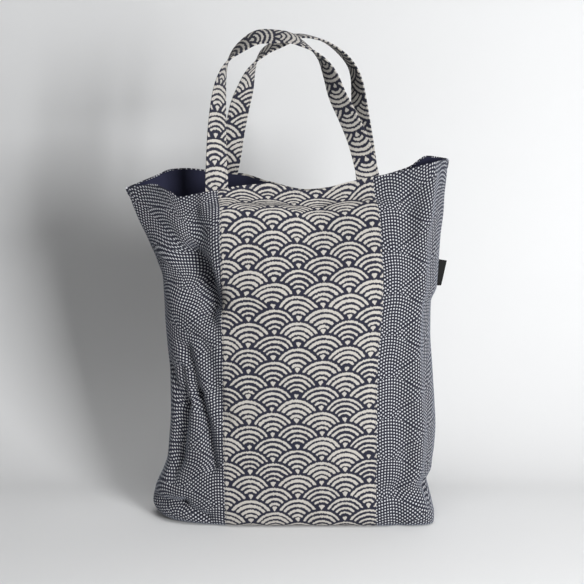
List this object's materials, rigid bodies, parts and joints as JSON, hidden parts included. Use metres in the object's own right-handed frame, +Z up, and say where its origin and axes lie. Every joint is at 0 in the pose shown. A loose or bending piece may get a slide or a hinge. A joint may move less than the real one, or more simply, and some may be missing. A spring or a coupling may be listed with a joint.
{
  "type": "tote bag",
  "caption": "Lined patchwork tote bag standing upright, softly filled, with a wide patterned middle panel between dotted side panels, two short cloth handles and a plain side tag.",
  "frame": {"origin": "middle of the whole object's box, at the floor", "axes": "+Z up, the front faces -Y, +X to the right as seen from the front"},
  "size_m": [0.373, 0.116, 0.5687],
  "materials": {
    "wave_cloth": "printed cotton, cream wave scallops on dark navy",
    "dot_cloth": "printed cotton, small pale dots in arcs on near-black navy",
    "lining_cloth": "plain navy cotton",
    "label_tape": "plain black woven tape"
  },
  "bodies": {
    "root": {"front_left_panel": "dot_cloth", "front_center_panel": "wave_cloth", "front_right_panel": "dot_cloth", "back_left_panel": "dot_cloth", "back_center_panel": "wave_cloth", "back_right_panel": "dot_cloth", "lining": "lining_cloth", "front_handle": "wave_cloth", "back_handle": "wave_cloth", "side_label": "label_tape"}
  },
  "joints": []
}
